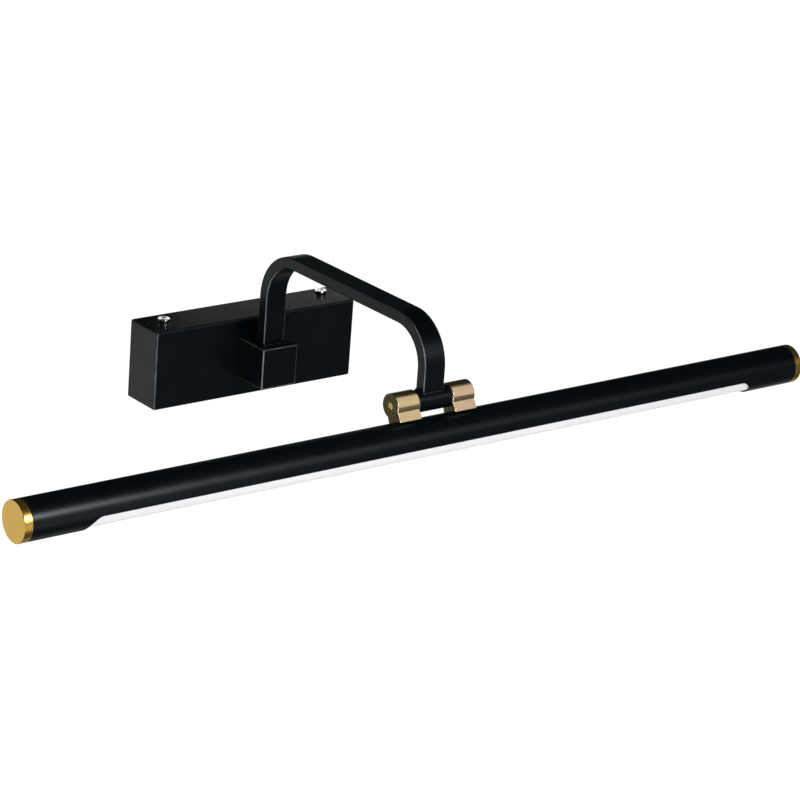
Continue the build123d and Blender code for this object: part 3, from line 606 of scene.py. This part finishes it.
def pan_head_screw(mesh, centre, top, seat, tip, head_radius, shank_radius, turn):
    """A pan-head machine screw standing along Z, with a cross recess and a grooved shank."""
    around, dome_steps, rim_steps = 96, 30, 8
    dome_fall, dome_power = 0.36 * 0.42 * head_radius, 2.4
    centre_share = 0.004
    rim, rim_height, under_edge = 0.25 * MM, 0.55 * MM, 0.12 * MM
    arm_half, arm_reach = 0.17 * head_radius, 0.56 * head_radius
    side_slope, end_slope = 0.05 * head_radius, 0.10 * head_radius
    recess = 0.75 * (top - seat)
    groove_pitch, groove_depth, first_groove = 0.7 * MM, 0.28 * MM, 0.2 * MM
    tip_bevel = 0.4 * MM

    def sunk(x, y):
        """How far the recess is cut below the dome at a point."""
        cosine, sine = math.cos(turn), math.sin(turn)
        along, across = abs(x * cosine + y * sine), abs(-x * sine + y * cosine)
        deep = 0.0
        for reach, side in ((along, across), (across, along)):
            if reach < arm_reach and side < arm_half:
                wall = min(1.0, (arm_reach - reach) / end_slope, (arm_half - side) / side_slope)
                deep = max(deep, wall * recess * (1 - 0.5 * reach / arm_reach))
        return deep

    rings = []
    for step in range(dome_steps + 1):
        share = centre_share + (1 - centre_share) * step / dome_steps
        radius = share * (head_radius - rim)
        level = top - dome_fall * (radius / head_radius) ** dome_power
        rings.append(ring_of(centre, radius, level, around, sunk))
    rim_top = top - dome_fall
    profile = []
    for step in range(1, rim_steps + 1):
        angle = math.pi / 2 * step / rim_steps
        radius = head_radius - rim + rim * math.sin(angle)
        profile.append((radius, rim_top - rim_height * (1 - math.cos(angle))))
    profile += [(head_radius, seat + under_edge), (head_radius - under_edge, seat), (shank_radius, seat)]
    level = seat - first_groove
    while level > tip + groove_pitch:
        profile += [(shank_radius, level), (shank_radius - groove_depth, level - groove_pitch / 2)]
        level -= groove_pitch
    profile += [(shank_radius, tip + tip_bevel), (shank_radius - tip_bevel, tip)]
    rings += [ring_of(centre, radius, level, around) for radius, level in profile]
    loft(mesh, rings)


# ---------------------------------------------------------------- operators
class PICTURELIGHT_OT_wall_box(bpy.types.Operator):
    """Paint the wall box and the boss, and finish the bracket behind them"""

    bl_idname = "picture_light.wall_box"
    bl_label = "Wall box and bracket"

    def execute(self, context):
        paint = context.scene.picture_light.paint
        # Edge lightening here is scuffing and painted highlight; the boss's top edges get the strongest
        # painted highlight.
        canopy_coat = powder_coat("canopy_powder_coat", paint, shine=0.06, edge_wear_and_highlight=0.5, level_wear_and_highlight=0.12)
        finish_node("canopy", canopy_coat)
        boss_coat = powder_coat("boss_powder_coat", paint, shine=0.04, edge_wear_and_highlight=1.0, level_wear_and_highlight=0.5)
        finish_node("arm_boss", boss_coat)
        bracket_zinc = plated("bracket_zinc", colour=(0.60, 0.61, 0.62), roughness=0.30, spread=0.14)
        finish_node("wall_bracket", bracket_zinc)
        finish_node("cable_grommet", moulded("grommet_rubber", BLACK_RUBBER, roughness=0.62))
        fastener_zinc = plated("fastener_zinc", ZINC, roughness=0.24)
        finish_nodes(["boss_nipple", "nipple_nut", "boss_screws"], fastener_zinc)
        finish_node("nipple_washer", plated("washer_steel", colour=(0.42, 0.43, 0.44), roughness=0.28))
        return {"FINISHED"}


class PICTURELIGHT_OT_canopy_screws(bpy.types.Operator):
    """Model the two bright pan-head screws on top of the wall box"""

    bl_idname = "picture_light.canopy_screws"
    bl_label = "Canopy screws"

    def execute(self, context):
        metal = context.scene.picture_light.metal
        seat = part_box("canopy")[1].z
        first_turn, turn_between = 0.5, 1.1
        mesh = bmesh.new()
        for index, (lo, hi) in enumerate(screw_boxes("canopy_screws")):
            centre = Vector(((lo.x + hi.x) / 2, (lo.y + hi.y) / 2, 0))
            pan_head_screw(mesh, centre, top=hi.z, seat=seat, tip=lo.z, head_radius=(hi.x - lo.x) / 2,
                           shank_radius=1.95 * MM, turn=first_turn + turn_between * index)
        nickel = plated("screw_nickel", metal.plate_colour, roughness=0.06, spread=0.07, dull=0.88)
        make_piece("canopy_pan_screws", mesh, nickel, "wall_unit", ["canopy_screws"])
        return {"FINISHED"}


class PICTURELIGHT_OT_arm(bpy.types.Operator):
    """Paint the bent arm and the knuckle barrel that is welded to its end"""

    bl_idname = "picture_light.arm"
    bl_label = "Arm and knuckle barrel"

    def execute(self, context):
        paint = context.scene.picture_light.paint
        coat = powder_coat("arm_powder_coat", paint, shine=0.04, edge_wear_and_highlight=0.9, level_wear_and_highlight=0.08, bent=True)
        finish_nodes(["arm", "knuckle_barrel"], coat)
        return {"FINISHED"}


class PICTURELIGHT_OT_foot_weld(bpy.types.Operator):
    """Model the rough weld bead round the arm's foot"""

    bl_idname = "picture_light.foot_weld"
    bl_label = "Foot weld"

    def execute(self, context):
        settings = context.scene.picture_light
        lo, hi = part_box("arm_weld_lower")
        arm_lo, arm_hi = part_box("arm")
        half_x = (arm_hi.x - arm_lo.x) / 2
        reach = (hi.x - lo.x) / 2 - half_x
        half_y = (hi.y - lo.y) / 2 - reach
        clear_of_arm, raised = 0.2 * MM, 0.15 * MM
        place = Vector(((lo.x + hi.x) / 2, (lo.y + hi.y) / 2, lo.z + raised))
        mesh = bmesh.new()
        weld_bead(mesh, half_x + clear_of_arm, half_y + clear_of_arm, corner=1.2 * MM,
                  radius=settings.weld.foot_radius, height_of=lambda y: 0.0, place=place,
                  pitch=settings.weld.ripple_pitch, roughness=1.0)
        weld_paint = powder_coat("foot_weld_paint", settings.paint, shine=0.08, edge_wear_and_highlight=0.2, lumps=6.0)
        make_piece("foot_weld_bead", mesh, weld_paint, "wall_unit", ["arm_weld_lower"])
        return {"FINISHED"}


class PICTURELIGHT_OT_knuckle_weld(bpy.types.Operator):
    """Model the smooth weld bead between the arm's end and the knuckle barrel"""

    bl_idname = "picture_light.knuckle_weld"
    bl_label = "Knuckle weld"

    def execute(self, context):
        settings = context.scene.picture_light
        lo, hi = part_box("knuckle_barrel")
        radius = (hi.z - lo.z) / 2
        arm_lo, arm_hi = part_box("arm")
        half_x = (arm_hi.x - arm_lo.x) / 2
        half_y = (lo.y + hi.y) / 2 - arm_lo.y
        place = Vector((0, (lo.y + hi.y) / 2, (lo.z + hi.z) / 2))
        clear_of_arm, raised = 0.1 * MM, 0.1 * MM
        ripples_apart = 1.6 * settings.weld.ripple_pitch

        def on_barrel(y):
            """The bead's height where it lies on the barrel's round top."""
            return math.sqrt(max(0.0, radius ** 2 - y ** 2)) + raised

        mesh = bmesh.new()
        weld_bead(mesh, half_x + clear_of_arm, half_y + clear_of_arm, corner=1.3 * MM,
                  radius=settings.weld.knuckle_radius, height_of=on_barrel, place=place,
                  pitch=ripples_apart, roughness=0.4)
        weld_paint = powder_coat("knuckle_weld_paint", settings.paint, shine=0.07, edge_wear_and_highlight=0.2, lumps=1.0)
        make_piece("knuckle_weld_bead", mesh, weld_paint, "wall_unit", ["arm_weld_upper"])
        return {"FINISHED"}


class PICTURELIGHT_OT_knuckle(bpy.types.Operator):
    """Finish the brass lugs, the pin, the sleeve and the friction washers"""

    bl_idname = "picture_light.knuckle"
    bl_label = "Knuckle"

    def execute(self, context):
        metal = context.scene.picture_light.metal
        finish_nodes(["lug_left", "lug_right"], lug_brass("lug_polished_brass", metal))
        pin_brass = plated("pin_brass", colour=(0.90, 0.72, 0.22), roughness=0.14)
        finish_nodes(["pivot_pin", "access_plug"], pin_brass)
        finish_node("pivot_sleeve", plated("sleeve_zinc", ZINC, roughness=0.2))
        spring_steel = plated("spring_steel", colour=(0.40, 0.41, 0.42), roughness=0.25)
        finish_nodes(["friction_washer_left", "friction_washer_right"], spring_steel)
        return {"FINISHED"}


class PICTURELIGHT_OT_lamp_tube(bpy.types.Operator):
    """Paint the round lamp tube"""

    bl_idname = "picture_light.lamp_tube"
    bl_label = "Lamp tube"

    def execute(self, context):
        paint = context.scene.picture_light.paint
        finish_node("lamp_tube", powder_coat("tube_powder_coat", paint, shine=0.02, edge_wear_and_highlight=0.2))
        finish_node("tube_grommet", moulded("tube_grommet_rubber", BLACK_RUBBER, roughness=0.6))
        finish_node("lug_screws", plated("lug_screw_zinc", ZINC, roughness=0.2))
        return {"FINISHED"}


class PICTURELIGHT_OT_end_caps(bpy.types.Operator):
    """Finish the two gold-coloured end caps"""

    bl_idname = "picture_light.end_caps"
    bl_label = "End caps"

    def execute(self, context):
        metal = context.scene.picture_light.metal
        lo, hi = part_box("end_cap_left")
        brass = cap_brass("cap_satin_brass", metal, (lo.y + hi.y) / 2, (lo.z + hi.z) / 2)
        finish_nodes(["end_cap_left", "end_cap_right"], brass)
        return {"FINISHED"}


class PICTURELIGHT_OT_diffuser(bpy.types.Operator):
    """Finish the opal diffuser behind the light slot"""

    bl_idname = "picture_light.diffuser"
    bl_label = "Diffuser"

    def execute(self, context):
        finish_node("diffuser", opal_plastic("opal_plastic", context.scene.picture_light.opal))
        return {"FINISHED"}


class PICTURELIGHT_OT_light_engine(bpy.types.Operator):
    """Finish the carrier, the circuit board, its chips, screws and lead"""

    bl_idname = "picture_light.light_engine"
    bl_label = "Light engine"

    def execute(self, context):
        aluminium = plated("carrier_aluminium", colour=(0.74, 0.75, 0.76), roughness=0.3, spread=0.15,
                           grain=0.4 * MM)
        finish_node("led_carrier", aluminium)
        finish_node("led_board", moulded("board_white_mask", colour=(0.84, 0.84, 0.82), roughness=0.35))
        finish_node("led_chips", moulded("chip_phosphor", colour=(0.84, 0.70, 0.24), roughness=0.25))
        finish_node("board_screws", plated("board_screw_zinc", ZINC, roughness=0.2))
        finish_node("head_lead", moulded("head_lead_sheath", WHITE_SHEATH, roughness=0.4))
        return {"FINISHED"}


class PICTURELIGHT_OT_driver(bpy.types.Operator):
    """Finish the driver in the wall box"""

    bl_idname = "picture_light.driver"
    bl_label = "Driver"

    def execute(self, context):
        case_plastic = moulded("driver_plastic", colour=(0.78, 0.78, 0.76), roughness=0.45)
        finish_nodes(["driver_case", "driver_lid"], case_plastic)
        finish_node("driver_board", moulded("driver_board_mask", colour=(0.03, 0.20, 0.09), roughness=0.3))
        winding_tape = striped("winding_tape", ground=(0.78, 0.60, 0.08), stripe=(0.62, 0.46, 0.05),
                               pitch=1.2 * MM)
        finish_node("driver_transformer", winding_tape)
        capacitor_sleeve = moulded("capacitor_sleeve", colour=(0.03, 0.03, 0.04), roughness=0.25)
        finish_node("driver_capacitors", capacitor_sleeve)
        finish_node("driver_screws", plated("driver_screw_zinc", ZINC, roughness=0.2))
        return {"FINISHED"}


class PICTURELIGHT_OT_terminals(bpy.types.Operator):
    """Finish the terminal block and the earth stud"""

    bl_idname = "picture_light.terminals"
    bl_label = "Terminals"

    def execute(self, context):
        finish_node("terminal_block", moulded("terminal_nylon", colour=(0.82, 0.81, 0.77), roughness=0.4))
        finish_node("terminal_clamps", plated("clamp_brass", colour=(0.70, 0.55, 0.26), roughness=0.25))
        finish_nodes(["terminal_screws", "terminal_fixings"], plated("terminal_zinc", ZINC, roughness=0.2))
        finish_node("earth_tag", plated("tag_tin", colour=(0.74, 0.74, 0.72), roughness=0.3))
        finish_node("earth_screw", plated("earth_screw_zinc", ZINC, roughness=0.2))
        return {"FINISHED"}


class PICTURELIGHT_OT_leads(bpy.types.Operator):
    """Finish the leads in the wall box and the arm"""

    bl_idname = "picture_light.leads"
    bl_label = "Leads"

    def execute(self, context):
        finish_node("live_lead", moulded("live_insulation", colour=(0.17, 0.07, 0.03), roughness=0.35))
        finish_node("neutral_lead", moulded("neutral_insulation", colour=(0.03, 0.10, 0.38), roughness=0.35))
        earth_cover = striped("earth_insulation", ground=(0.07, 0.32, 0.05), stripe=(0.72, 0.62, 0.06),
                              pitch=3.0 * MM)
        finish_node("earth_lead", earth_cover)
        finish_node("lamp_lead", moulded("lamp_lead_sheath", WHITE_SHEATH, roughness=0.4))
        return {"FINISHED"}


class Glow:
    """A soft bright patch of the surroundings that shows only in reflections."""

    def __init__(self, towards, full_within, dark_beyond, strength):
        self.towards = Vector(towards).normalized()
        self.full = math.cos(math.radians(full_within))
        self.dark = math.cos(math.radians(dark_beyond))
        self.strength = strength


def studio_world(glows):
    """White to the camera, an even soft ambient for diffuse light, and dim glows for reflections."""
    reflected_base, ambient_strength = 0.004, 0.62
    world = bpy.data.worlds.new("studio_world")
    bpy.context.scene.world = world
    world.use_nodes = True
    tree = world.node_tree
    tree.nodes.clear()
    output = tree.nodes.new("ShaderNodeOutputWorld")
    direction = add_node(tree, "ShaderNodeTexCoord").outputs["Generated"]
    total = reflected_base
    for glow in glows:
        likeness = add_node(tree, "ShaderNodeVectorMath", {"operation": "DOT_PRODUCT"}, _0=direction,
                            _1=glow.towards).outputs["Value"]
        total = sum_of(tree, total, ranged(tree, likeness, 0.0, glow.strength, glow.dark, glow.full))
    path = add_node(tree, "ShaderNodeLightPath")
    mirrored = add_node(tree, "ShaderNodeBackground", Strength=total)
    ambient = add_node(tree, "ShaderNodeBackground", Color=SKY_LIGHT, Strength=ambient_strength)
    backdrop = add_node(tree, "ShaderNodeBackground", Color=WHITE_LIGHT, Strength=1.0)
    lit = add_node(tree, "ShaderNodeMixShader", Fac=path.outputs["Is Glossy Ray"], _1=ambient.outputs[0],
                   _2=mirrored.outputs[0])
    seen = add_node(tree, "ShaderNodeMixShader", Fac=path.outputs["Is Camera Ray"], _1=lit.outputs[0],
                    _2=backdrop.outputs[0])
    tree.links.new(seen.outputs[0], output.inputs["Surface"])


def softbox(name, target, offset, width, height, radiance):
    """A rectangular area light of a given brightness, aimed at a point from `offset` away."""
    data = bpy.data.lights.new(name, "AREA")
    data.shape = "RECTANGLE"
    data.size = width
    data.size_y = height
    data.energy = radiance * math.pi * width * height
    light = bpy.data.objects.new(name, data)
    light.location = target + Vector(offset)
    light.visible_camera = False
    light.rotation_euler = (-Vector(offset)).to_track_quat("-Z", "Y").to_euler()
    bpy.context.scene.collection.objects.link(light)
    return light


def link_light(light, names, state):
    """Lets a light fall on some nodes only, or on all but those."""
    receivers = bpy.data.collections.new(light.name + "_receivers")
    for name in names:
        receivers.objects.link(bpy.data.objects[name] if name in bpy.data.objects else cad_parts[name])
    for receiver in receivers.collection_objects:
        receiver.light_linking.link_state = state
    light.light_linking.receiver_collection = receivers


class PICTURELIGHT_OT_stage(bpy.types.Operator):
    """Lay the pale floor, set the studio light and place the camera"""

    bl_idname = "picture_light.stage"
    bl_label = "Stage"

    def execute(self, context):
        stage = context.scene.picture_light.stage
        self.lay_floor(stage)
        studio_world([
            Glow(towards=(-0.59, 0.73, -0.344), full_within=18, dark_beyond=50, strength=0.56),
            Glow(towards=(-0.73, -0.59, -0.30), full_within=8, dark_beyond=22, strength=3.0),
            Glow(towards=(0.73, 0.59, -0.34), full_within=8, dark_beyond=26, strength=0.7),
            Glow(towards=(0.59, -0.73, -0.36), full_within=10, dark_beyond=42, strength=0.15),
            Glow(towards=(0.48, 0.31, -0.82), full_within=10, dark_beyond=35, strength=0.34),
        ])
        self.set_lights()
        self.place_camera(context, stage)
        return {"FINISHED"}

    def set_lights(self):
        """Softboxes round the lamp. The lugs, the left end cap and the screws have lights of their own."""
        tube_lo, tube_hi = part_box("lamp_tube")
        middle = (tube_lo + tube_hi) / 2
        left_end = Vector((tube_lo.x, middle.y, middle.z))
        box_lo, box_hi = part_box("canopy")
        box_end = Vector((box_lo.x, -0.03, 0))
        box_top = Vector((0.05, 0, box_hi.z))
        lugs = ["lug_left", "lug_right", "pivot_pin", "access_plug"]
        front = softbox("front_softbox", middle, offset=(0.70, -1.17, 0.55), width=0.95, height=0.60,
                        radiance=0.80)
        softbox("left_strip", left_end, offset=(0.26, -0.63, 0.33), width=0.19, height=0.19, radiance=27.0)
        softbox("low_left_softbox", left_end, offset=(0.34, -0.62, -0.22), width=0.25, height=0.42,
                radiance=0.60)
        softbox("back_left_panel", box_end, offset=Vector((-0.40, 0.43, -0.19)) - box_end, width=0.24,
                height=0.24, radiance=0.22)
        softbox("wall_box_panel", box_top, offset=(0.148, 0.183, 0.062), width=0.20, height=0.05,
                radiance=0.45)
        cap = softbox("cap_panel", left_end, offset=(-0.29, 0.47, -0.24), width=0.4, height=0.4,
                      radiance=0.26)
        link_light(cap, ["end_cap_left"], "INCLUDE")
        screws = softbox("screw_softbox", box_top, offset=(0.10, 0.17, 0.09), width=0.44, height=0.26,
                         radiance=1.0)
        link_light(screws, ["canopy_pan_screws"], "INCLUDE")
        knuckle = softbox("knuckle_softbox", middle, offset=(0.47, -0.48, 0.44), width=0.8, height=1.15,
                          radiance=0.72)
        link_light(knuckle, lugs, "INCLUDE")
        link_light(front, lugs, "EXCLUDE")

    def lay_floor(self, stage):
        """A wide sheet of pale paper, left out of reflections."""
        half_width, squares = 9.0, 8
        place = Matrix.Translation((0, 0, cad_box[0].z - stage.floor_drop))
        mesh = bmesh.new()
        bmesh.ops.create_grid(mesh, x_segments=squares, y_segments=squares, size=half_width, matrix=place)
        data = bpy.data.meshes.new("studio_floor")
        mesh.to_mesh(data)
        mesh.free()
        material, tree, shader = start_finish("floor_paper")
        shader.inputs["Base Color"].default_value = solid(stage.floor_colour)
        shader.inputs["Roughness"].default_value = 0.9
        shader.inputs["Emission Color"].default_value = WHITE_LIGHT
        shader.inputs["Emission Strength"].default_value = 0.5
        data.materials.append(material)
        floor = bpy.data.objects.new("studio_floor", data)
        floor.visible_glossy = False
        bpy.context.scene.collection.objects.link(floor)

    def place_camera(self, context, stage):
        """The camera, turned to its azimuth and elevation and then rolled about its line of sight."""
        azimuth, elevation, roll = stage.camera_azimuth, stage.camera_elevation, stage.camera_roll
        reach, height = math.cos(elevation), math.sin(elevation)
        back = Vector((math.sin(azimuth) * reach, -math.cos(azimuth) * reach, height))
        level_right = (-back).cross(Vector((0, 0, 1))).normalized()
        level_up = level_right.cross(-back)
        right = math.cos(roll) * level_right + math.sin(roll) * level_up
        up = -math.sin(roll) * level_right + math.cos(roll) * level_up
        data = bpy.data.cameras.new("camera")
        data.lens = stage.camera_lens
        data.sensor_width = 36.0
        data.shift_x, data.shift_y = stage.camera_shift
        data.dof.use_dof = False
        data.clip_start = 0.05
        data.clip_end = 60.0
        camera = bpy.data.objects.new("camera", data)
        turned = Matrix((right, up, back)).transposed().to_4x4()
        camera.matrix_world = Matrix.Translation(Vector(stage.camera_place)) @ turned
        context.scene.collection.objects.link(camera)
        context.scene.camera = camera
        context.scene.view_settings.view_transform = "Standard"


PIECE_OPERATORS = (
    PICTURELIGHT_OT_wall_box,
    PICTURELIGHT_OT_canopy_screws,
    PICTURELIGHT_OT_arm,
    PICTURELIGHT_OT_foot_weld,
    PICTURELIGHT_OT_knuckle_weld,
    PICTURELIGHT_OT_knuckle,
    PICTURELIGHT_OT_lamp_tube,
    PICTURELIGHT_OT_end_caps,
    PICTURELIGHT_OT_diffuser,
    PICTURELIGHT_OT_light_engine,
    PICTURELIGHT_OT_driver,
    PICTURELIGHT_OT_terminals,
    PICTURELIGHT_OT_leads,
    PICTURELIGHT_OT_stage,
)


class PICTURELIGHT_PT_panel(bpy.types.Panel):
    """Lists the pieces of the picture light and their settings"""

    bl_idname = "PICTURELIGHT_PT_panel"
    bl_label = "Picture Light"
    bl_space_type = "VIEW_3D"
    bl_region_type = "UI"
    bl_category = "Picture Light"

    def draw(self, context):
        settings = context.scene.picture_light
        for operator in PIECE_OPERATORS:
            self.layout.operator(operator.bl_idname)
        for name in ("paint", "metal", "weld", "opal", "stage"):
            box = self.layout.box()
            box.label(text=name.capitalize())
            group = getattr(settings, name)
            for key in group.__annotations__:
                box.prop(group, key)


SETTING_GROUPS = (
    PaintSettings,
    MetalSettings,
    WeldSettings,
    OpalSettings,
    StageSettings,
    PictureLightSettings,
)


def register():
    for group in SETTING_GROUPS + PIECE_OPERATORS + (PICTURELIGHT_PT_panel,):
        bpy.utils.register_class(group)
    bpy.types.Scene.picture_light = bpy.props.PointerProperty(type=PictureLightSettings)


def unregister():
    del bpy.types.Scene.picture_light
    for group in reversed(SETTING_GROUPS + PIECE_OPERATORS + (PICTURELIGHT_PT_panel,)):
        bpy.utils.unregister_class(group)


def main():
    register()
    for operator in PIECE_OPERATORS:
        group, name = operator.bl_idname.split(".")
        getattr(getattr(bpy.ops, group), name)()


if __name__ == "__main__":
    main()
